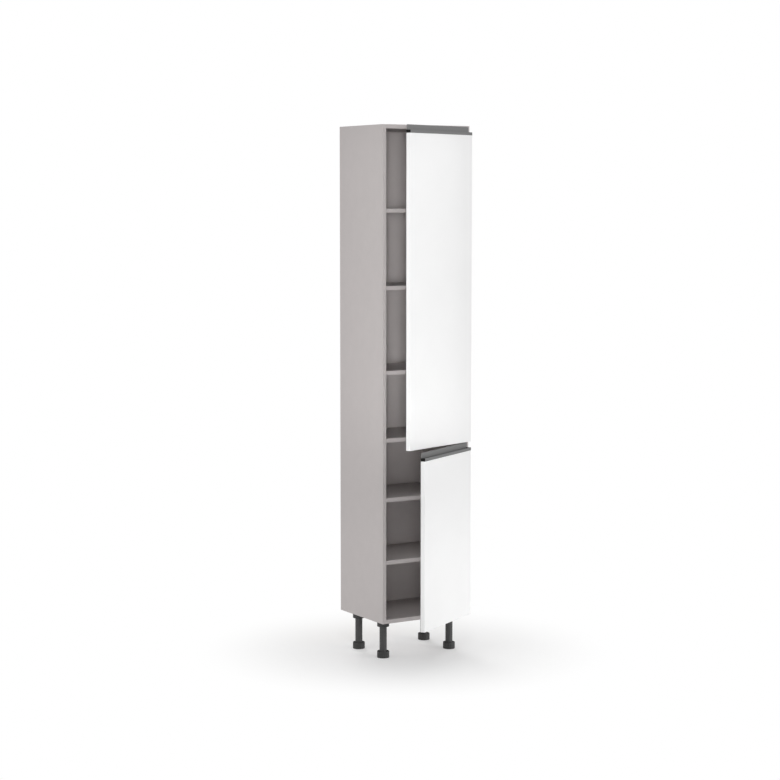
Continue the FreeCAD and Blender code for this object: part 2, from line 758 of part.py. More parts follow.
def inner_pin_track():
    """Ends of the cup's inner pin's track as the inner link sees it, and its half width across."""
    pivot = spot(ARM_INNER_PIN)
    pin = spot(CUP_INNER_PIN)
    seen = []
    for degree in range(int(size("door_opening")) + 1):
        seen.append(inner_link_swing(degree).inverse().multVec(door_swing(degree).multVec(pin)) - pivot)
    heading = sum(seen, Vector()).normalize()
    along = [offset.dot(heading) for offset in seen]
    across = [abs(offset.cross(heading).z) for offset in seen]
    return pivot + heading * min(along), pivot + heading * max(along), max(across)


def outer_links(label, heights, angle):
    """Pairs of bent link plates between the arm's outer pin and the cup's outer pin."""
    plates = []
    run = [spot(ARM_PIN), spot(OUTER_ELBOW), spot(CUP_PIN)]
    for height in heights:
        for low, high in both_sides(size("outer_link_low"), size("outer_link_high")):
            bottom = evaluate(height) + low
            thickness = high - low
            bar = flat_bar(run, size("link_half_width"), bottom, bottom + thickness)
            eye = Part.makeCylinder(size("link_eye_radius"), thickness, run[0] + UP * bottom)
            tip = Part.makeCylinder(size("link_tip_radius"), thickness, run[-1] + UP * bottom)
            holes = [
                Part.makeCylinder(evaluate(PIN_HOLE), thickness, end + UP * bottom)
                for end in (run[0], run[-1])
            ]
            plates.append(bar.multiFuse([eye, tip]).removeSplitter().cut(holes))
    keep(shaped(Part.makeCompound(plates)), label, outer_link_swing(angle))


def inner_links(label, heights, angle):
    """Bent links from the arm's inner pin to the cup's inner pin, which runs in a short slot."""
    near, far, across = inner_pin_track()
    slot_half = evaluate(PIN_HOLE) + across
    half = size("inner_link_half")
    run = [spot(ARM_INNER_PIN), spot(INNER_ELBOW), near]
    links = []
    for height in heights:
        middle = evaluate(height)
        bottom = middle - half
        top = middle + half
        bar = flat_bar(run, size("inner_link_half_width"), bottom, top)
        eye = Part.makeCylinder(size("link_eye_radius"), top - bottom, run[0] + UP * bottom)
        tip = flat_bar([near, far], slot_half + size("slot_wall"), bottom, top)
        eye_hole = Part.makeCylinder(evaluate(PIN_HOLE), top - bottom, run[0] + UP * bottom)
        slot = flat_bar([near, far], slot_half, bottom, top)
        links.append(bar.multiFuse([eye, tip]).removeSplitter().cut([eye_hole, slot]))
    keep(shaped(Part.makeCompound(links)), label, inner_link_swing(angle))


# Doors
CUP_X = f"({DOOR_EDGE} - cup_from_edge)"
CUP_SCREW_X = f"({CUP_X} - cup_screw_offset)"
CUP_BOTTOM_Y = f"({DOOR_BACK} - cup_depth)"
HANDLE_SCREW_Y = f"({DOOR_FRONT} + door_thickness / 2)"
HANDLE_SCREW_COLUMNS = [
    f"(-{DOOR_WIDTH} / 2 + handle_screw_inset)",
    "0",
    f"({DOOR_WIDTH} / 2 - handle_screw_inset)",
]


def hinge_cup(height):
    """Round cup let into the door, with a pocket for the links and a screw wing on the door's face."""
    pot = rod("cup_radius", "cup_depth", CUP_X, CUP_BOTTOM_Y, height, "y")
    strip = block("wing_width", "wing_thickness", "(2 * wing_half)", f"({CUP_SCREW_X} - wing_width / 2)",
                  DOOR_BACK, f"({height} - wing_half)")
    wing = rounded(strip, size("wing_corner"), EDGES_ALONG_Y)
    pocket_start = f"({CUP_BOTTOM_Y} + cup_floor)"
    pocket_length = "(cup_depth - cup_floor + wing_thickness)"
    pocket = doc.addObject("Part::Common", "pocket")
    pocket.Base = rod("(cup_radius - cup_wall)", pocket_length, CUP_X, pocket_start, height, "y")
    pocket.Tool = block("(2 * cup_radius)", pocket_length, "(2 * cup_pocket_half)", f"({CUP_X} - cup_radius)",
                        pocket_start, f"({height} - cup_pocket_half)")
    pin_ways = [pin_across(pin, height, "cup_pin_half", PIN_HOLE) for pin in (CUP_PIN, CUP_INNER_PIN)]
    screw_ways = [
        rod(SCREW_HOLE, "wing_thickness", CUP_SCREW_X, DOOR_BACK, z, "y")
        for z in cup_screw_heights(height)
    ]
    return cut(fuse([pot, wing]), [fuse([pocket] + pin_ways)] + screw_ways)


def cup_screw_heights(height):
    """Heights of the two screws beside a cup."""
    return [f"({height} {sign} cup_screw_half)" for sign in "+-"]


def cup_pins(height):
    """Two short pins for the outer link plates and one long pin for the inner link."""
    stub = "(cup_pin_half - outer_link_low)"
    return [
        rod("hinge_pin_radius", stub, *CUP_PIN, f"({height} + outer_link_low)"),
        rod("hinge_pin_radius", stub, *CUP_PIN, f"({height} - cup_pin_half)"),
        pin_across(CUP_INNER_PIN, height, "cup_pin_half", "hinge_pin_radius"),
    ]


def handle_profile(label, top):
    """Extruded aluminium grip: floor on the door's edge, low front lip and high rear web."""
    body = doc.addObject("PartDesign::Body", f"{label}_extrusion")
    section = section_sketch(body, "YZ_Plane", [
        (DOOR_FRONT, top),
        (DOOR_BACK, top),
        (DOOR_BACK, f"({top} + handle_rise)"),
        (f"({DOOR_BACK} - handle_wall)", f"({top} + handle_rise)"),
        (f"({DOOR_BACK} - handle_wall)", f"({top} + handle_wall)"),
        (f"({DOOR_FRONT} + handle_wall)", f"({top} + handle_wall)"),
        (f"({DOOR_FRONT} + handle_wall)", f"({top} + handle_lip)"),
        (DOOR_FRONT, f"({top} + handle_lip)"),
    ])
    tie(section, "AttachmentOffset.Base.z", f"(handle_cap - {DOOR_WIDTH} / 2)")
    pad = body.newObject("PartDesign::Pad", f"{label}_pad")
    pad.Profile = section
    tie(pad, "Length", f"({DOOR_WIDTH} - 2 * handle_cap)")
    doc.recompute()
    softened = body.newObject("PartDesign::Fillet", f"{label}_softened")
    softened.Base = (pad, [""])
    softened.UseAllEdges = True
    tie(softened, "Radius", "handle_round")
    body.Tip = softened
    return cut(body, [rod(SCREW_HOLE, "handle_wall", x, HANDLE_SCREW_Y, top) for x in HANDLE_SCREW_COLUMNS])


def handle_caps(top):
    """End caps: a flange over each end of the grip and a plug inside its channel."""
    inset = "(handle_wall + handle_plug_play)"
    plug_depth = f"(door_thickness - 2 * {inset})"
    plug_height = "(handle_lip - handle_wall)"
    caps = []
    for flange_x, plug_x in (
        (f"(-{DOOR_WIDTH} / 2)", f"(handle_cap - {DOOR_WIDTH} / 2)"),
        (f"({DOOR_WIDTH} / 2 - handle_cap)", f"({DOOR_WIDTH} / 2 - handle_cap - handle_plug)"),
    ):
        flange = block("handle_cap", "door_thickness", "handle_lip", flange_x, DOOR_FRONT, top)
        plug = block("handle_plug", plug_depth, plug_height, plug_x, f"({DOOR_FRONT} + {inset})",
                     f"({top} + handle_wall)")
        caps.append(fuse([flange, plug]))
    return group(caps)


def door(name, bottom, panel_height, heights, angle):
    """One door with its handle, hinge cups and fasteners, swung open with its links."""
    swing = door_swing(angle)
    top = f"({bottom} + {panel_height})"
    tools = []
    handle_screws = []
    for x in HANDLE_SCREW_COLUMNS:
        tools.append(screw_hole(x, HANDLE_SCREW_Y, top, "z", False))
        handle_screws.append(wood_screw(x, HANDLE_SCREW_Y, f"({top} + handle_wall)", "z", False))
    cup_screws = []
    pins = []
    for height in heights:
        cup_hole = "(cup_radius + drill_clearance)"
        hole_depth = "(cup_depth + drill_clearance)"
        hole_start = f"({DOOR_BACK} - {hole_depth})"
        tools.append(rod(cup_hole, hole_depth, CUP_X, hole_start, height, "y"))
        for z in cup_screw_heights(height):
            tools.append(screw_hole(CUP_SCREW_X, DOOR_BACK, z, "y", False))
            cup_screws.append(wood_screw(CUP_SCREW_X, f"({DOOR_BACK} + wing_thickness)", z, "y", False))
        pins += cup_pins(height)
    slab = block(DOOR_WIDTH, "door_thickness", panel_height, f"(-{DOOR_WIDTH} / 2)", DOOR_FRONT, bottom)
    keep(cut(rounded(slab, size("door_edge_round")), tools), f"{name}_panel", swing)
    keep(handle_profile(f"{name}_handle", top), f"{name}_handle", swing)
    keep(handle_caps(top), f"{name}_handle_caps", swing)
    keep(group(handle_screws), f"{name}_handle_screws", swing)
    keep(group([hinge_cup(height) for height in heights]), f"{name}_hinge_cups", swing)
    keep(group(cup_screws), f"{name}_cup_screws", swing)
    keep(group(pins), f"{name}_cup_pins", swing)
    outer_links(f"{name}_outer_links", heights, angle)
    inner_links(f"{name}_inner_links", heights, angle)


door("lower_door", LOWER_DOOR_BOTTOM, LOWER_PANEL_HEIGHT, LOWER_HINGES, size("lower_door_angle"))
door("upper_door", UPPER_DOOR_BOTTOM, UPPER_PANEL_HEIGHT, UPPER_HINGES, size("upper_door_angle"))

# Check every object, then write each sub-part to its own file
doc.recompute()
for thing in doc.Objects:
    if "Invalid" in thing.State or "Error" in thing.State:
        raise RuntimeError(f"{thing.Label} could not be built")
os.makedirs("parts", exist_ok=True)
for node in nodes:
    if node.Shape.isNull() or not node.Shape.isValid():
        raise RuntimeError(f"{node.Label} has no sound shape")
for node in nodes:
    node.Shape.exportStep(f"parts/{node.Label}.step")
print(len(nodes), "sub-parts written")
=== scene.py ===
import json
import math

import bmesh
import bpy
import numpy as np
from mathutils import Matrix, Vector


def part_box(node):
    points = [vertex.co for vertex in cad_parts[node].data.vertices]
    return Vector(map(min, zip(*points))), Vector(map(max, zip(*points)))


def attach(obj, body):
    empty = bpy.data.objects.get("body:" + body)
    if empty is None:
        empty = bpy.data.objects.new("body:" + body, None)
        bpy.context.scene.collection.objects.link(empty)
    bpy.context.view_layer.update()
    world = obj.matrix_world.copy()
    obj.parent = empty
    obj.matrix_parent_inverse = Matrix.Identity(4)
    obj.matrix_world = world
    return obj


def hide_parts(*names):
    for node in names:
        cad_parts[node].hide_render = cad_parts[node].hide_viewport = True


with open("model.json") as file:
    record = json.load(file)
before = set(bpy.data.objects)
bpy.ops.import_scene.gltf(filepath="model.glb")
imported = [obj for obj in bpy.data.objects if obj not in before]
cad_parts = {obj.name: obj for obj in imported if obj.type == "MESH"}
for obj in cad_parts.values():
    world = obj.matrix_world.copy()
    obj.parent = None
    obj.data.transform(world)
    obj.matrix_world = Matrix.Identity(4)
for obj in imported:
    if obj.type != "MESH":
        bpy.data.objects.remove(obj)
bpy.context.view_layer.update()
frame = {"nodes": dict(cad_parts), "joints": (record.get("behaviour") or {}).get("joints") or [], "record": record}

# Looks of a tall kitchen cabinet: grey board carcass, white doors ajar, dark handle profiles, black legs.
# Metres. Z is up, the doors face -Y and hang on the +X side.

MM = 0.001
FULL_TURN = 2 * math.pi
LEFT = (-1, 0, 0)
REAR = (0, 1, 0)
UP = (0, 0, 1)
DOWN = (0, 0, -1)


# Places read from the frame
def corners(name):
    """Lowest and highest corner of a CAD node."""
    low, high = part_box(name)
    return np.array(low, float), np.array(high, float)


def middle(name):
    """Point halfway between the two corners of a CAD node."""
    low, high = corners(name)
    return (low + high) / 2


JOINTS = {joint["name"]: joint for joint in frame["joints"]}
MOUNTS = {mount["name"]: mount for mount in frame["record"]["mounts"]}
INNER_RIGHT, CARCASS_FRONT, CARCASS_BOTTOM = corners("side_panel_right")[0]
CARCASS_RIGHT = corners("side_panel_right")[1][0]

# Camera at the photograph's viewing angle, in metres, degrees and millimetres of film
CAMERA_EYE = (-4.1394, -6.6659, 1.8037)
CAMERA_TURN = 31.428
CAMERA_TILT = -5.472
CAMERA_LENS = 90.74
SENSOR = 36.0

# Boards: paper facing, front edge strip, how deep the front and the ends stay grey, the depth to which a cut
# rear edge shows, and a distance past every board
FACING = 0.3 * MM
EDGE_STRIP = 1 * MM
FRONT_COVER = 1.5 * MM
END_COVER = 0.7 * MM
CUT_DEPTH = 0.1 * MM
FAR = 10.0

# Doors: angle at rest, and places on a shut door measured from the carcass
DOOR_ANGLE = {"upper_door": 20.0, "lower_door": 30.0}
DOOR_REVEAL = 1.5 * MM
DOOR_STANDOFF = 2 * MM
DOOR_THICKNESS = 18 * MM
DOOR_EDGE = CARCASS_RIGHT - DOOR_REVEAL
DOOR_BACK = CARCASS_FRONT - DOOR_STANDOFF
HANDLE_WALL = 2 * MM
HANDLE_SCREW_INSET = 40 * MM

# Hinges: the cup's pin on a shut door, and the screws of plate, arm and cup
CUP_PIN_FROM_EDGE = 8.9 * MM
CUP_PIN_DEPTH = 3.3 * MM
CUP_PIN = np.array((DOOR_EDGE - CUP_PIN_FROM_EDGE, DOOR_BACK - CUP_PIN_DEPTH))
PLATE_THICKNESS = 2 * MM
PLATE_SCREW_BACK = 37 * MM
PLATE_SCREW_HALF = 16 * MM
ARM_RISE = 19 * MM
ARM_SCREW_BACKS = (30 * MM, 50 * MM)
CUP_WING = 1 * MM
CUP_SCREW_FROM_EDGE = 28.5 * MM
CUP_SCREW_HALF = 24 * MM
HINGE_HEIGHTS = {
    door: np.array([
        middle(name)[2] for name in sorted(frame["nodes"]) if name.startswith(f"hinge_plate_{door}")
    ])
    for door in DOOR_ANGLE
}

# Wood screws: domed head, cross slots and thread
SCREW_HEAD = 3.6 * MM
SCREW_HEAD_HEIGHT = 2 * MM
SCREW_DOME = 1.2 * MM
SCREW_RIM_EDGE = 0.1 * MM
SCREW_DOME_ROWS = 26
SLOT_HALF = 0.5 * MM
SLOT_TAPER = 0.08
SLOT_REACH = 2.15 * MM
SLOT_DEPTH = 1.2 * MM
SLOT_SIDE_SLOPE = 0.12 * MM
SLOT_END_SLOPE = 0.2 * MM
SCREW_SHANK = 2 * MM
SCREW_LENGTH = 14 * MM
SCREW_TIP_SHARE = 0.2
THREAD_PITCH = 2.4 * MM
THREAD_DEPTH = 0.55 * MM
THREAD_SHARPNESS = 3
SHANK_ROWS = 40
SCREW_COLUMNS = 48

# Legs, levelling feet and wall brackets
LEG_X, LEG_Y, _ = MOUNTS["front_left_sole"]["pos_m"]
LEG_CENTRES = {
    "front_left": (LEG_X, LEG_Y),
    "front_right": (-LEG_X, LEG_Y),
    "rear_left": (LEG_X, -LEG_Y),
    "rear_right": (-LEG_X, -LEG_Y),
}
LEG_FLANGE = 4 * MM
LEG_SCREW_CIRCLE = 19.2 * MM
LEG_SCREW_ANGLES = np.radians((90, 210, 330))
FOOT_RADIUS = 24.2 * MM
FOOT_HEIGHT = 26 * MM
FOOT_SOLE = 10 * MM
FOOT_RECESS = 21 * MM
FOOT_ROUND = 1 * MM
STEM_RADIUS = 12.45 * MM
STEM_TOP = corners("foot_front_left")[1][2]
FOOT_GRIPS = 16
FOOT_GRIP_DEPTH = 0.9 * MM
FOOT_GRIP_MARGIN = 0.1 * MM
FOOT_WALL_ROWS = 9
FOOT_ROUND_ROWS = 5
FOOT_COLUMNS = 192
BRACKET_THICKNESS = 2.5 * MM
BRACKET_SCREW_INSET = 15 * MM

# Meshes: points this near are one point, and an edge this sharp stays sharp
MERGE_DISTANCE = 0.001 * MM
SHARP_EDGE = math.radians(40)

# Stage: how white the floor looks at the object, the distances between which it turns plain white, how far it
# reaches, and the strength of the world's light
FLOOR_GLOW = 0.3
FLOOR_FADE = (0.2, 0.85)
FLOOR_REACH = 40.0
WORLD_LIGHT = 0.56

# Lamps: places in plan, sizes, and beams in degrees
STRIP_PLAN = (-1.355, -2.219)
STRIP_WIDTH = 0.6
STRIP_BEAM = 14.0
HIGH_STRIP_BEAM = 18.0
FILL_PLAN = (2.7, -3.4)
FILL_SIZE = (1.6, 1.6)
FILL_BEAM = 40.0
OPEN_BEAM = 180.0

# Sockets of a Mix node for colours, and the values between which most of a noise lies
MIX_FIRST = 6
MIX_SECOND = 7
MIX_RESULT = 2
NOISE_LOW = 0.3
NOISE_HIGH = 0.7


# Colour and shader nodes
def paint(code):
    """sRGB hex colour as linear RGBA: each channel over 12.92 when dark, else ((c + 0.055) / 1.055) ^ 2.4."""
    channels = np.array([int(code[start:start + 2], 16) for start in (1, 3, 5)]) / 255
    linear = np.where(channels <= 0.04045, channels / 12.92, ((channels + 0.055) / 1.055) ** 2.4)
    return (*linear.tolist(), 1.0)


def feed(tree, target, inputs):
    """Feeds sockets of a node, each with a plain value or with the output that it is linked to."""
    for socket, value in inputs.items():
        if isinstance(value, bpy.types.NodeSocket):
            tree.links.new(value, target.inputs[socket])
        else:
            target.inputs[socket].default_value = value


def node(tree, kind, inputs, **settings):
    """Adds one shader node with its settings, and feeds its sockets."""
    made = tree.nodes.new(kind)
    for name, value in settings.items():
        setattr(made, name, value)
    feed(tree, made, inputs)
    return made


def material(name):
    """Empty material with its tree, its Principled shader and the piece's own coordinates."""
    made = bpy.data.materials.new(name)
    made.use_nodes = True
    tree = made.node_tree
    shader = tree.nodes["Principled BSDF"]
    place = node(tree, "ShaderNodeTexCoord", {}).outputs["Object"]
    return made, tree, shader, place


def dress(tree, shader, colour, wear, roughness, relief, strength, depth):
    """Gives a shader its colour and its unevenness: the roughness follows one pattern from a lower to a
    higher value, and another pattern is embossed so many metres deep."""
    smooth, rough = roughness
    dullness = node(tree, "ShaderNodeMapRange", {
        "Value": wear, "From Min": NOISE_LOW, "From Max": NOISE_HIGH, "To Min": smooth, "To Max": rough})
    bump = node(tree, "ShaderNodeBump", {"Height": relief, "Strength": strength, "Distance": depth})
    feed(tree, shader, {
        "Base Color": colour, "Roughness": dullness.outputs[0], "Normal": bump.outputs[0]})


def per_mm(size):
    """Texture scale whose cells are about this many millimetres wide."""
    return 1 / (size * MM)


# Materials
def melamine(name, front, raw_low, raw_high):
    """Melamine-faced chipboard: pressed paper with a fine pearl grain, a glued edge strip along the front,
    and bare chips where the board was cut or drilled, which is inside a box of two corners. The eye sees an
    even matt grey with a faint cloud in it."""
    made, tree, shader, place = material(name)
    # pressing clouds about 45 mm wide, and a pearl grain of 0.4 mm drawn at 2.5 mm so that it shows
    cloud = node(tree, "ShaderNodeTexNoise", {
        "Vector": place, "Scale": per_mm(45), "Detail": 3.0, "Roughness": 0.6})
    grain = node(tree, "ShaderNodeTexNoise", {"Vector": place, "Scale": per_mm(2.5), "Detail": 2.0})
    both = node(tree, "ShaderNodeMath", {0: cloud.outputs["Fac"], 1: grain.outputs["Fac"]}, operation="ADD")
    share = node(tree, "ShaderNodeMapRange", {
        "Value": both.outputs[0], "From Min": 2 * NOISE_LOW, "From Max": 2 * NOISE_HIGH})
    facing = node(tree, "ShaderNodeMix", {
        0: share.outputs[0], MIX_FIRST: paint("#b9b3b2"), MIX_SECOND: paint("#c1bbba")}, data_type="RGBA")
    # glue line of the edge strip, 0.1 mm wide on the real board, drawn faintly at 0.5 mm so that it shows
    glue_half = 0.25 * MM
    glue_shows = 0.35
    axes = node(tree, "ShaderNodeSeparateXYZ", {0: place})
    seam = node(tree, "ShaderNodeMath", {
        0: axes.outputs["Y"], 1: front + EDGE_STRIP, 2: glue_half}, operation="COMPARE")
    glue = node(tree, "ShaderNodeMath", {0: seam.outputs[0], 1: glue_shows}, operation="MULTIPLY")
    banded = node(tree, "ShaderNodeMix", {
        0: glue.outputs[0], MIX_FIRST: facing.outputs[MIX_RESULT], MIX_SECOND: paint("#6b6664")},
        data_type="RGBA")
    # pressed wood chips about 3 mm wide in the cut faces
    chips = node(tree, "ShaderNodeTexVoronoi", {"Vector": place, "Scale": per_mm(3)})
    chip = node(tree, "ShaderNodeSeparateColor", {0: chips.outputs["Color"]})
    wood = node(tree, "ShaderNodeMix", {
        0: chip.outputs[0], MIX_FIRST: paint("#8c6d4b"), MIX_SECOND: paint("#c9ab7f")}, data_type="RGBA")
    # a point is cut wood where its distance from the box's middle is under half the box on every axis
    raw_low = np.array(raw_low)
    raw_high = np.array(raw_high)
    offset = node(tree, "ShaderNodeVectorMath", {
        0: place, 1: (raw_low + raw_high) / 2}, operation="SUBTRACT")
    reach = node(tree, "ShaderNodeVectorMath", {
        0: offset.outputs[0], 1: (raw_high - raw_low) / 2}, operation="DIVIDE")
    distance = node(tree, "ShaderNodeVectorMath", {0: reach.outputs[0]}, operation="ABSOLUTE")
    sides = node(tree, "ShaderNodeSeparateXYZ", {0: distance.outputs[0]})
    plan = node(tree, "ShaderNodeMath", {0: sides.outputs["X"], 1: sides.outputs["Y"]}, operation="MAXIMUM")
    furthest = node(tree, "ShaderNodeMath", {0: plan.outputs[0], 1: sides.outputs["Z"]}, operation="MAXIMUM")
    cut = node(tree, "ShaderNodeMath", {0: furthest.outputs[0], 1: 1.0}, operation="LESS_THAN")
    board = node(tree, "ShaderNodeMix", {
        0: cut.outputs[0], MIX_FIRST: banded.outputs[MIX_RESULT], MIX_SECOND: wood.outputs[MIX_RESULT]},
        data_type="RGBA")
    dress(tree, shader, board.outputs[MIX_RESULT], wear=cloud.outputs["Fac"], roughness=(0.42, 0.54),
          relief=grain.outputs["Fac"], strength=0.12, depth=0.1 * MM)
    feed(tree, shader, {"IOR": 1.5})
    return made


def side_board(side):
    """Side panel: cut wood shows in its rear edge and in what is drilled or grooved below its skin."""
    low, high = corners(f"side_panel_{side}")
    raw_low = low + (FACING, FRONT_COVER, END_COVER)
    raw_high = (high[0] - FACING, FAR, high[2] - END_COVER)
    return melamine(f"melamine_side_{side}", low[1], raw_low, raw_high)


def rear_cut_board(name, like):
    """Board like a CAD node, with cut wood in its rear edge alone."""
    low, high = corners(like)
    return melamine(name, low[1], (-FAR, high[1] - CUT_DEPTH, -FAR), (FAR, FAR, FAR))


def lacquered_fibreboard():
    """Thin hardboard back: roller-lacquered grey on the inside, and bare brown matted fibres behind."""
    made, tree, shader, place = material("lacquered_fibreboard")
    rear_skin = 0.5 * MM
    # lacquer clouds 60 mm wide, and matted fibres 4 mm long
    cloud = node(tree, "ShaderNodeTexNoise", {"Vector": place, "Scale": per_mm(60), "Detail": 4.0})
    grey = node(tree, "ShaderNodeMix", {
        0: cloud.outputs["Fac"], MIX_FIRST: paint("#bab4b3"), MIX_SECOND: paint("#c4bebd")},
        data_type="RGBA")
    fibres = node(tree, "ShaderNodeTexNoise", {
        "Vector": place, "Scale": per_mm(4), "Detail": 5.0, "Roughness": 0.7})
    brown = node(tree, "ShaderNodeMix", {
        0: fibres.outputs["Fac"], MIX_FIRST: paint("#7d664f"), MIX_SECOND: paint("#a1876b")},
        data_type="RGBA")
    axes = node(tree, "ShaderNodeSeparateXYZ", {0: place})
    behind = node(tree, "ShaderNodeMath", {
        0: axes.outputs["Y"], 1: corners("back_panel")[1][1] - rear_skin}, operation="GREATER_THAN")
    face = node(tree, "ShaderNodeMix", {
        0: behind.outputs[0], MIX_FIRST: grey.outputs[MIX_RESULT], MIX_SECOND: brown.outputs[MIX_RESULT]},
        data_type="RGBA")
    dress(tree, shader, face.outputs[MIX_RESULT], wear=behind.outputs[0], roughness=(0.48, 0.8),
          relief=fibres.outputs["Fac"], strength=0.1, depth=0.15 * MM)
    return made


def matt_lacquer():
    """White matt lacquer sprayed on board: nearly even, with a slight orange peel and hardly any sheen."""
    made, tree, shader, place = material("matt_white_lacquer")
    # orange peel of 1.5 mm, drawn at 5 mm so that it shows, and spray clouds 140 mm wide
    peel = node(tree, "ShaderNodeTexNoise", {"Vector": place, "Scale": per_mm(5), "Detail": 1.0})
    cloud = node(tree, "ShaderNodeTexNoise", {"Vector": place, "Scale": per_mm(140), "Detail": 2.0})
    white = node(tree, "ShaderNodeMix", {
        0: cloud.outputs["Fac"], MIX_FIRST: paint("#f4f4f4"), MIX_SECOND: paint("#f8f8f8")},
        data_type="RGBA")
    dress(tree, shader, white.outputs[MIX_RESULT], wear=cloud.outputs["Fac"], roughness=(0.52, 0.6),
          relief=peel.outputs["Fac"], strength=0.06, depth=0.1 * MM)
    feed(tree, shader, {"IOR": 1.48, "Specular IOR Level": 0.25})
    return made


def anodised_aluminium(door):
    """Extruded profile, brushed along its length and anodised dark grey: a soft metal sheen with fine
    streaks."""
    made, tree, shader, place = material(f"anodised_aluminium_{door}")
    # streaks 0.3 mm wide, drawn at 1.2 mm, that run 400 mm along the door
    along = node(tree, "ShaderNodeMapping", {
        "Vector": place, "Rotation": (0.0, 0.0, -math.radians(DOOR_ANGLE[door])),
        "Scale": (per_mm(400), per_mm(1.2), per_mm(1.2))})
    streaks = node(tree, "ShaderNodeTexNoise", {"Vector": along.outputs[0], "Scale": 1.0, "Detail": 3.0})
    tone = node(tree, "ShaderNodeMix", {
        0: streaks.outputs["Fac"], MIX_FIRST: paint("#757575"), MIX_SECOND: paint("#8e8e8e")},
        data_type="RGBA")
    dress(tree, shader, tone.outputs[MIX_RESULT], wear=streaks.outputs["Fac"], roughness=(0.58, 0.72),
          relief=streaks.outputs["Fac"], strength=0.1, depth=0.05 * MM)
    feed(tree, shader, {"Metallic": 1.0})
    return made


def moulded_plastic(name, dark, light, shine):
    """Black polypropylene from a spark-eroded mould: a dull, finely pebbled skin with greyer rubs."""
    made, tree, shader, place = material(name)
    # pebbles of 0.3 mm, drawn at 1.2 mm so that they show, and rubs about 18 mm wide
    pebbles = node(tree, "ShaderNodeTexVoronoi", {"Vector": place, "Scale": per_mm(1.2)})
    rubs = node(tree, "ShaderNodeTexNoise", {"Vector": place, "Scale": per_mm(18), "Detail": 4.0})
    tone = node(tree, "ShaderNodeMix", {
        0: rubs.outputs["Fac"], MIX_FIRST: paint(dark), MIX_SECOND: paint(light)}, data_type="RGBA")
    dress(tree, shader, tone.outputs[MIX_RESULT], wear=rubs.outputs["Fac"], roughness=(0.48, 0.62),
          relief=pebbles.outputs["Distance"], strength=0.25, depth=0.1 * MM)
    feed(tree, shader, {"IOR": 1.49, "Specular IOR Level": shine})
    return made


def plated_steel(name, light, dark, roughness):
    """Pressed steel, nickel or zinc plated in a barrel: a bright grey metal with small dull patches."""
    made, tree, shader, place = material(name)
    # dull patches 6 mm wide over plating crystals of 0.2 mm, drawn at 1.5 mm so that they show
    patches = node(tree, "ShaderNodeTexNoise", {"Vector": place, "Scale": per_mm(6), "Detail": 4.0})
    crystals = node(tree, "ShaderNodeTexVoronoi", {"Vector": place, "Scale": per_mm(1.5)})
    crystal = node(tree, "ShaderNodeSeparateColor", {0: crystals.outputs["Color"]})
    dulled = node(tree, "ShaderNodeMath", {
        0: patches.outputs["Fac"], 1: crystal.outputs[0]}, operation="MULTIPLY")
    tone = node(tree, "ShaderNodeMix", {
        0: dulled.outputs[0], MIX_FIRST: paint(light), MIX_SECOND: paint(dark)}, data_type="RGBA")
    dress(tree, shader, tone.outputs[MIX_RESULT], wear=patches.outputs["Fac"], roughness=roughness,
          relief=patches.outputs["Fac"], strength=0.1, depth=0.05 * MM)
    feed(tree, shader, {"Metallic": 1.0})
    return made


def turned_beech():
    """Bare beech dowel: pale reddish wood with fine grain along its length."""
    made, tree, shader, place = material("turned_beech")
    # grain lines 0.8 mm apart, 30 mm long
    along = node(tree, "ShaderNodeMapping", {
        "Vector": place, "Scale": (per_mm(30), per_mm(0.8), per_mm(0.8))})
    grain = node(tree, "ShaderNodeTexNoise", {"Vector": along.outputs[0], "Scale": 1.0, "Detail": 4.0})
    tone = node(tree, "ShaderNodeMix", {
        0: grain.outputs["Fac"], MIX_FIRST: paint("#b98f63"), MIX_SECOND: paint("#dcbd92")},
        data_type="RGBA")
    bump = node(tree, "ShaderNodeBump", {
        "Height": grain.outputs["Fac"], "Strength": 0.2, "Distance": 0.1 * MM})
    feed(tree, shader, {
        "Base Color": tone.outputs[MIX_RESULT], "Roughness": 0.65, "Normal": bump.outputs[0]})
    return made


cross_board = rear_cut_board("melamine_cross_board", "top_panel")
shelf_board = rear_cut_board("melamine_shelf", "shelf_1")
door_white = matt_lacquer()
tube_plastic = moulded_plastic("extruded_tube_plastic", "#363636", "#454545", shine=0.5)
foot_plastic = moulded_plastic("moulded_foot_plastic", "#282828", "#353535", shine=0.5)
# End caps of the handle profiles: real black plastic, but their near-zero black is painted shade for the dark open
# ends of the channels.
shade_black_cap_plastic = moulded_plastic("cap_plastic_with_painted_shade", "#0b0b0b", "#141414", shine=0.15)
nickel = plated_steel("nickel_plated_steel", "#cfccc6", "#a9a6a0", roughness=(0.18, 0.34))
zinc = plated_steel("zinc_plated_steel", "#c3c6c9", "#96999c", roughness=(0.3, 0.5))

NODE_FINISHES = {
    "side_panel_left": side_board("left"),
    "side_panel_right": side_board("right"),
    "top_panel": cross_board,
    "bottom_panel": cross_board,
    "fixed_shelf": rear_cut_board("melamine_fixed_shelf", "fixed_shelf"),
    "back_panel": lacquered_fibreboard(),
    "upper_door_panel": door_white,
    "lower_door_panel": door_white,
    "upper_door_handle": anodised_aluminium("upper_door"),
    "lower_door_handle": anodised_aluminium("lower_door"),
    "upper_door_handle_caps": shade_black_cap_plastic,
    "lower_door_handle_caps": shade_black_cap_plastic,
    "dowels": turned_beech(),
    "cam_locks": zinc,
    "cam_bolts": zinc,
    "carcass_screws": zinc,
    "shelf_pins": nickel,
}
START_FINISHES = {
    "shelf_": shelf_board,
    "leg_tube": tube_plastic,
    "leg_socket": foot_plastic,
    "foot_": foot_plastic,
    "wall_bracket": zinc,
}


def finish_of(name):
    """Material of a CAD node: by its full name, else by how its name starts, and nickel for the rest."""
    if name in NODE_FINISHES:
        return NODE_FINISHES[name]
    for start, finish in START_FINISHES.items():
        if name.startswith(start):
            return finish
    return nickel


for name, thing in frame["nodes"].items():
    thing.data.materials.clear()
    thing.data.materials.append(finish_of(name))


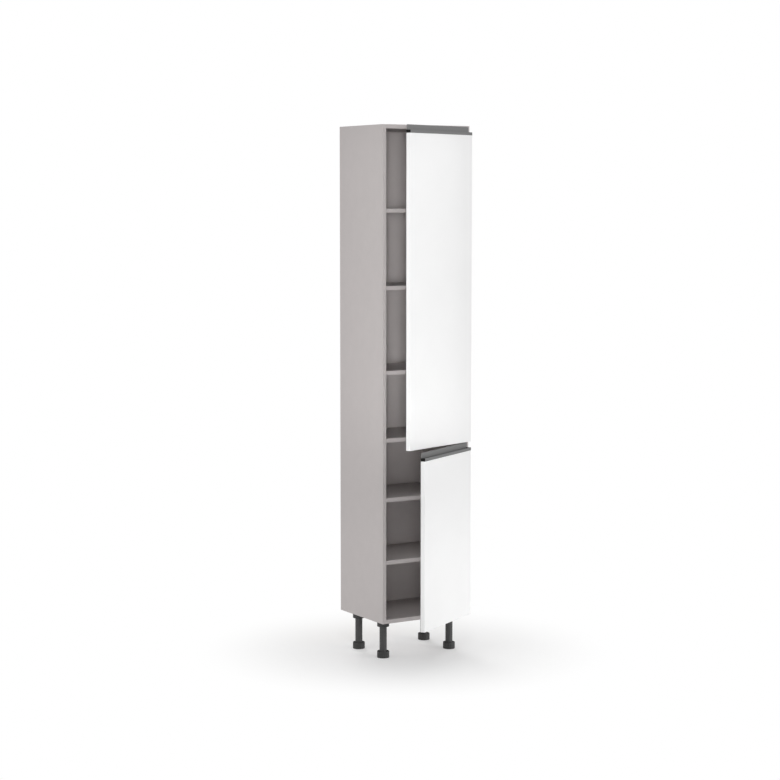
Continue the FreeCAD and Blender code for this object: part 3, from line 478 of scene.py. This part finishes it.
# Surfaces
def surface(name, grids, finish):
    """Mesh of one or more point grids, each of rows by columns with its columns closed into a ring: every
    corner joins the next column and the next row, and points that meet at a pole are merged."""
    grids = np.reshape(grids, (-1, *np.shape(grids)[-3:]))
    copies, rows, columns, _ = grids.shape
    index = np.arange(copies * rows * columns).reshape(copies, rows, columns)
    ahead = np.roll(index, -1, axis=2)
    quads = np.stack((index[:, :-1], ahead[:, :-1], ahead[:, 1:], index[:, 1:]), axis=-1).reshape(-1, 4)
    mesh = bpy.data.meshes.new(name)
    mesh.from_pydata(grids.reshape(-1, 3).tolist(), [], quads.tolist())
    shell = bmesh.new()
    shell.from_mesh(mesh)
    bmesh.ops.remove_doubles(shell, verts=shell.verts, dist=MERGE_DISTANCE)
    bmesh.ops.recalc_face_normals(shell, faces=shell.faces)
    shell.to_mesh(mesh)
    shell.free()
    mesh.polygons.foreach_set("use_smooth", np.ones(len(mesh.polygons), bool))
    mesh.set_sharp_from_angle(angle=SHARP_EDGE)
    mesh.materials.append(finish)
    piece = bpy.data.objects.new(name, mesh)
    bpy.context.scene.collection.objects.link(piece)
    return piece


def swung(points, door):
    """Points of a shut door after it has swung: turned by the door's angle about the cup's pin, which the
    link has carried to the door's pivot in the frame."""
    angle = math.radians(DOOR_ANGLE[door])
    turn = np.array(((math.cos(angle), -math.sin(angle)), (math.sin(angle), math.cos(angle))))
    pivot = np.array(JOINTS[f"{door}_pivot"]["pos_m"])
    moved = np.array(points)
    moved[..., :2] = (moved[..., :2] - CUP_PIN) @ turn.T + pivot[:2]
    return moved


def screw_grid():
    """Pan-head screw along +Z with its head's underside at 0. The head is a dome whose cubed shares of radius
    and height add up to 1, above a straight rim. A cross of two tapered slots lowers the dome near its
    middle, and a ridge climbs the shank as angle minus depth over pitch."""
    around = np.linspace(0, FULL_TURN, SCREW_COLUMNS, endpoint=False)
    spread = np.sin(np.linspace(0, math.pi / 2, SCREW_DOME_ROWS))
    head_radius = np.append(spread * SCREW_HEAD, (SCREW_HEAD, SCREW_HEAD - SCREW_RIM_EDGE))
    dome_drop = SCREW_DOME * (1 - np.cbrt(1 - spread ** 3))
    head_drop = np.append(dome_drop, (SCREW_HEAD_HEIGHT - 2 * SCREW_RIM_EDGE, SCREW_HEAD_HEIGHT))
    x = head_radius[:, None] * np.cos(around)
    y = head_radius[:, None] * np.sin(around)
    across = np.minimum(abs(x), abs(y))
    along = np.maximum(abs(x), abs(y))
    in_width = np.clip((SLOT_HALF - SLOT_TAPER * along - across) / SLOT_SIDE_SLOPE + 0.5, 0, 1)
    in_length = np.clip((SLOT_REACH - along) / SLOT_END_SLOPE, 0, 1)
    head_height = SCREW_HEAD_HEIGHT - head_drop[:, None] - SLOT_DEPTH * in_width * in_length
    head = np.stack((x, y, head_height), axis=-1)
    share = np.linspace(0, 1, SHANK_ROWS)[:, None]
    depth = share * SCREW_LENGTH
    taper = np.clip((1 - share) / SCREW_TIP_SHARE, 0, 1)
    ridge = np.clip(np.cos(around - FULL_TURN * depth / THREAD_PITCH), 0, 1) ** THREAD_SHARPNESS
    radius = taper * (SCREW_SHANK - THREAD_DEPTH * (1 - ridge))
    shank = np.stack((radius * np.cos(around), radius * np.sin(around), -depth + 0 * around), axis=-1)
    return np.concatenate((head, shank))


def screws_at(places, outward):
    """Copies of the screw at points, with its head turned to a direction: the turn's columns are two cross
    axes and that direction."""
    outward = np.array(outward, float)
    side = np.array((1.0, 0, 0)) if outward[2] else np.array((0, 0, 1.0))
    turn = np.stack((side, np.cross(outward, side), outward), axis=1)
    return np.asarray(places)[:, None, None, :] + screw_grid() @ turn.T


def row(x, y, heights):
    """Points above each other at one place in plan."""
    heights = np.atleast_1d(heights)
    return np.stack((np.full(heights.shape, x), np.full(heights.shape, y), heights), axis=-1)


def pair(x, y, heights, half):
    """Two points for each height at one place in plan, so far above and below it."""
    return np.concatenate((row(x, y, heights + half), row(x, y, heights - half)))


def stand_for(piece, body, slot, *nodes):
    """Lets a piece move with a body and stand for CAD nodes, which it hides. The slot is not used."""
    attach(piece, body)
    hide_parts(*nodes)


# Screws of the hinges, on the side panel and on the arms
all_heights = np.concatenate((HINGE_HEIGHTS["lower_door"], HINGE_HEIGHTS["upper_door"]))
plate_screws = pair(INNER_RIGHT - PLATE_THICKNESS, CARCASS_FRONT + PLATE_SCREW_BACK, all_heights,
                    PLATE_SCREW_HALF)
arm_screws = [row(INNER_RIGHT - ARM_RISE, CARCASS_FRONT + back, all_heights) for back in ARM_SCREW_BACKS]
hinge_places = np.concatenate((plate_screws, *arm_screws))
hinge_screws = surface("hinge_cross_screws", screws_at(hinge_places, LEFT), nickel)
stand_for(hinge_screws, "carcass", "plated_steel", "hinge_screws")

# Screws of the legs and wall brackets, which point up into the boards
board_places = [
    row(x + LEG_SCREW_CIRCLE * math.cos(angle), y + LEG_SCREW_CIRCLE * math.sin(angle),
        CARCASS_BOTTOM - LEG_FLANGE)
    for x, y in LEG_CENTRES.values()
    for angle in LEG_SCREW_ANGLES
]
for side in ("left", "right"):
    low, high = corners(f"wall_bracket_{side}")
    screw_x = (low[0] + high[0]) / 2
    board_places.append(row(screw_x, low[1] + BRACKET_SCREW_INSET, high[2] - BRACKET_THICKNESS))
board_screws = surface("board_cross_screws", screws_at(np.concatenate(board_places), DOWN), zinc)
stand_for(board_screws, "carcass", "plated_steel", "carcass_screws")

# Screws of the doors: above and below each hinge cup, and along each handle
for door, heights in HINGE_HEIGHTS.items():
    cup_places = pair(DOOR_EDGE - CUP_SCREW_FROM_EDGE, DOOR_BACK + CUP_WING, heights, CUP_SCREW_HALF)
    cup_screws = surface(f"{door}_cup_cross_screws", swung(screws_at(cup_places, REAR), door), nickel)
    stand_for(cup_screws, door, "plated_steel", f"{door}_cup_screws")
    last_screw = DOOR_EDGE - HANDLE_SCREW_INSET
    handle_height = corners(f"{door}_panel")[1][2] + HANDLE_WALL
    handle_places = np.concatenate([
        row(x, DOOR_BACK - DOOR_THICKNESS / 2, handle_height) for x in (-last_screw, 0, last_screw)
    ])
    handle_screws = surface(f"{door}_handle_cross_screws", swung(screws_at(handle_places, UP), door), zinc)
    stand_for(handle_screws, door, "plated_steel", f"{door}_handle_screws")


# Levelling feet
def quarter(radius, height, size, start):
    """Quarter round about a point of a profile, anticlockwise from a start angle in degrees."""
    turn = np.radians(np.linspace(start, start + 90, FOOT_ROUND_ROWS))
    return np.stack((radius + size * np.cos(turn), height + size * np.sin(turn)), axis=-1)


def foot_grid():
    """Moulded foot: a turned profile from the sole's middle round the rim, into the recess and up the stem.
    Finger grips sink the rim's wall by a squared raised cosine of the angle, and fade out towards the wall's
    ends as the root of a sine of the height."""
    around = np.linspace(0, FULL_TURN, FOOT_COLUMNS, endpoint=False)
    wall_heights = np.linspace(2 * FOOT_ROUND, FOOT_HEIGHT - 2 * FOOT_ROUND, FOOT_WALL_ROWS)
    inside = FOOT_ROUND / 2
    profile = np.concatenate((
        ((0, 0), (STEM_RADIUS, 0)),
        quarter(FOOT_RADIUS - FOOT_ROUND, FOOT_ROUND, FOOT_ROUND, -90),
        np.stack((np.full(FOOT_WALL_ROWS, FOOT_RADIUS), wall_heights), axis=-1),
        quarter(FOOT_RADIUS - FOOT_ROUND, FOOT_HEIGHT - FOOT_ROUND, FOOT_ROUND, 0),
        quarter(FOOT_RECESS + inside, FOOT_HEIGHT - inside, inside, 90),
        ((FOOT_RECESS, FOOT_SOLE), (STEM_RADIUS, FOOT_SOLE), (STEM_RADIUS, STEM_TOP - FOOT_ROUND)),
        ((STEM_RADIUS - FOOT_ROUND, STEM_TOP), (0, STEM_TOP)),
    ))
    radius, height = profile[:, :1], profile[:, 1:]
    wall = radius > FOOT_RADIUS - FOOT_GRIP_MARGIN
    fade = np.sqrt(np.sin(math.pi * np.clip(height / FOOT_HEIGHT, 0, 1)))
    grip = (0.5 + 0.5 * np.cos(FOOT_GRIPS * around)) ** 2
    radius = radius - wall * fade * grip * FOOT_GRIP_DEPTH
    return np.stack((radius * np.cos(around), radius * np.sin(around), height + 0 * around), axis=-1)


for corner, (x, y) in LEG_CENTRES.items():
    foot = surface(f"gripped_foot_{corner}", foot_grid() + (x, y, 0), foot_plastic)
    stand_for(foot, f"foot_{corner}", "black_plastic", f"foot_{corner}")


# Stage: a pale floor that turns into the white background with distance, soft light and the camera
WHITE = paint("#ffffff")


def seen_directly(tree):
    """1 for what the camera sees itself, in a reflection or through something clear, else 0."""
    path = node(tree, "ShaderNodeLightPath", {})
    mirrored = node(tree, "ShaderNodeMath", {
        0: path.outputs["Is Camera Ray"], 1: path.outputs["Is Glossy Ray"]}, operation="MAXIMUM")
    seen = node(tree, "ShaderNodeMath", {
        0: mirrored.outputs[0], 1: path.outputs["Is Transmission Ray"]}, operation="MAXIMUM")
    return seen.outputs[0]


def pale_floor():
    """Matt white floor: it keeps the shadow near the object, and what the camera or a reflection sees of it
    brightens to plain white with distance from the object."""
    made, tree, shader, place = material("pale_floor")
    feed(tree, shader, {"Base Color": paint("#f7f7f7"), "Roughness": 0.9, "Specular IOR Level": 0.1})
    near, far = FLOOR_FADE
    away = node(tree, "ShaderNodeVectorMath", {0: place}, operation="LENGTH")
    fade = node(tree, "ShaderNodeMapRange", {
        "Value": away.outputs["Value"], "From Min": near, "From Max": far, "To Min": FLOOR_GLOW},
        interpolation_type="SMOOTHSTEP")
    share = node(tree, "ShaderNodeMath", {0: seen_directly(tree), 1: fade.outputs[0]}, operation="MULTIPLY")
    white = node(tree, "ShaderNodeEmission", {"Color": WHITE, "Strength": 1.0})
    mixed = node(tree, "ShaderNodeMixShader", {
        0: share.outputs[0], 1: shader.outputs[0], 2: white.outputs[0]})
    feed(tree, tree.nodes["Material Output"], {"Surface": mixed.outputs[0]})
    return made


floor_corners = [(x * FLOOR_REACH, y * FLOOR_REACH, 0) for x, y in ((-1, -1), (1, -1), (1, 1), (-1, 1))]
floor_mesh = bpy.data.meshes.new("floor")
floor_mesh.from_pydata(floor_corners, [], [(0, 1, 2, 3)])
floor_mesh.materials.append(pale_floor())
floor = bpy.data.objects.new("floor", floor_mesh)
bpy.context.scene.collection.objects.link(floor)

world = bpy.data.worlds.new("studio")
world.use_nodes = True
sky = world.node_tree
sky.nodes.clear()
soft = node(sky, "ShaderNodeBackground", {"Color": WHITE, "Strength": WORLD_LIGHT})
white = node(sky, "ShaderNodeBackground", {"Color": WHITE, "Strength": 1.0})
mixed = node(sky, "ShaderNodeMixShader", {0: seen_directly(sky), 1: soft.outputs[0], 2: white.outputs[0]})
node(sky, "ShaderNodeOutputWorld", {"Surface": mixed.outputs[0]})
bpy.context.scene.world = world


def lamp(name, place, aim, size, watts, beam):
    """Soft lamp of a width and a height that points from its place to a target, with a beam of so many
    degrees."""
    data = bpy.data.lights.new(name, "AREA")
    data.shape = "RECTANGLE"
    data.size, data.size_y = size
    data.energy = watts
    data.spread = math.radians(beam)
    thing = bpy.data.objects.new(name, data)
    thing.location = place
    x, y, z = np.subtract(aim, place)
    thing.rotation_euler = (math.acos(-z / math.hypot(x, y, z)), 0, math.atan2(y, x) - math.pi / 2)
    thing.visible_camera = False
    bpy.context.scene.collection.objects.link(thing)
    return thing


# Strips shine into the open front, more into its upper half, as in the photograph
lamp("upper_front_strip", (*STRIP_PLAN, 1.51), (0, 0, 1.51), (STRIP_WIDTH, 1.36), watts=1.28, beam=STRIP_BEAM)
lamp("lower_front_strip", (*STRIP_PLAN, 0.42), (0, 0, 0.42), (STRIP_WIDTH, 0.54), watts=0.16, beam=STRIP_BEAM)
lamp("high_front_strip", (*STRIP_PLAN, 2.5), (0, -0.1, 0.3), (STRIP_WIDTH, 0.5), watts=0.2,
     beam=HIGH_STRIP_BEAM)
# Fills lighten the doors from the hinge side, and the left side panel with its legs
lamp("high_right_fill", (*FILL_PLAN, 2.2), (0, 0, 2.5), FILL_SIZE, watts=2.1, beam=FILL_BEAM)
lamp("low_right_fill", (*FILL_PLAN, 0.75), (0, 0, -0.1), FILL_SIZE, watts=4.2, beam=FILL_BEAM)
lamp("low_left_fill", (-3.2, 0.6, 0.5), (-0.2, 0, 0.4), (1.2, 1.2), watts=11.0, beam=OPEN_BEAM)
# The back lamp lights the rear for the other views
back_lamp = lamp("back_lamp", (0.8, 3.2, 2.2), (0, 0, 0), (1.5, 1.5), watts=50.0, beam=OPEN_BEAM)
back_lamp.visible_glossy = False

camera_data = bpy.data.cameras.new("camera")
camera_data.lens = CAMERA_LENS
camera_data.sensor_width = SENSOR
camera = bpy.data.objects.new("camera", camera_data)
camera.location = CAMERA_EYE
camera.rotation_euler = (math.radians(90 + CAMERA_TILT), 0, -math.radians(CAMERA_TURN))
bpy.context.scene.collection.objects.link(camera)
bpy.context.scene.camera = camera
bpy.context.scene.view_settings.view_transform = "Standard"
